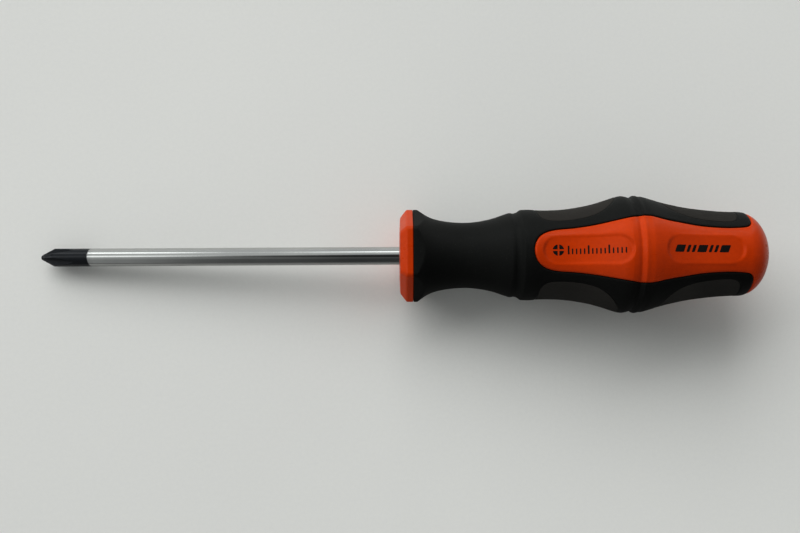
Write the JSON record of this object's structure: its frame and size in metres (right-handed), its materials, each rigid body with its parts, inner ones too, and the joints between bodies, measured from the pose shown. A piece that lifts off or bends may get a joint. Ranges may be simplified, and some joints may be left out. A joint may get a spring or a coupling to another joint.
{
  "type": "screwdriver",
  "caption": "Fixed-blade cross-tip screwdriver: round shaft with blackened tip, hexagonal anti-roll flange, waisted soft-grip handle with hard windows and a domed butt.",
  "frame": {"origin": "on the tool's axis at the very tip of the blade", "axes": "+X along the tool's axis from the tip to the butt of the handle, +Z out through the first window, +Y out through one rubber pad"},
  "size_m": [0.2021, 0.0328, 0.0327],
  "materials": {
    "blade_steel": "satin chrome plate on tool steel, phosphated black over the first 13.5 mm of the tip",
    "core_plastic": "natural moulded, hidden",
    "body_plastic": "semi-gloss orange polypropylene",
    "grip_rubber": "matte black soft moulding, finely textured panels"
  },
  "bodies": {
    "root": {"blade": "blade_steel", "inner_core": "core_plastic", "handle_body": "body_plastic", "grip_overmould": "grip_rubber"}
  },
  "joints": []
}
